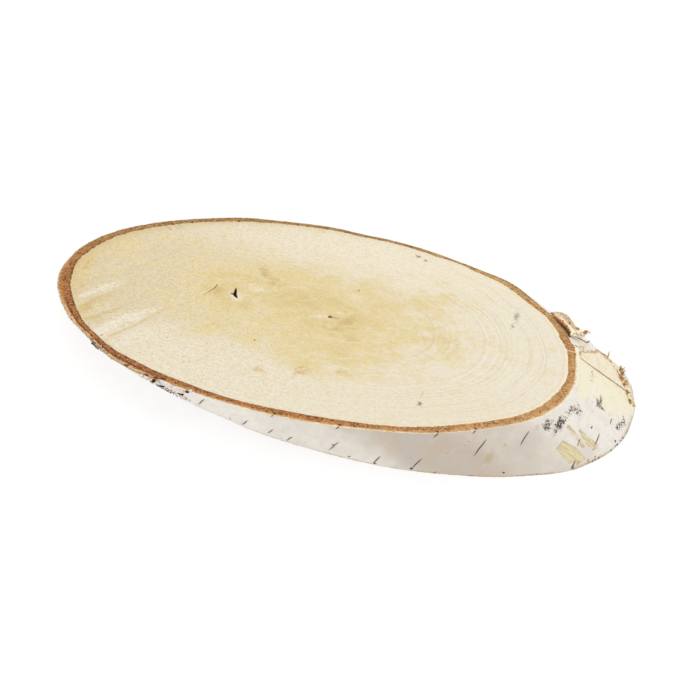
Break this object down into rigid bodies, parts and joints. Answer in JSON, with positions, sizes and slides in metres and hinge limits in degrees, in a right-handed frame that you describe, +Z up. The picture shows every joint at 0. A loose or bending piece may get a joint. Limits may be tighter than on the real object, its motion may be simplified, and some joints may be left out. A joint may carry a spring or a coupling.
{
  "type": "birch wood slice",
  "caption": "Thin slab sawn at a slant through a birch trunk, bark left on; lies flat as a serving or display base.",
  "frame": {"origin": "on the underside, below the middle of the slab's slanted core, where it rests", "axes": "+Z up out of the upper saw cut, +X along the oval's long axis towards the end where the bark slopes outwards"},
  "size_m": [0.2234, 0.1046, 0.0161],
  "materials": {
    "sawn_wood": "dry sawn birch, unsealed, faint growth rings and saw marks",
    "inner_bark": "granular brown inner bark, cut across",
    "paper_bark": "smooth off-white paper bark with dark lenticels, lichen specks and peeled tan places",
    "peeled_paper": "dry tan inner side of peeled paper bark"
  },
  "bodies": {
    "root": {"birch_slice": "sawn_wood"}
  },
  "joints": []
}
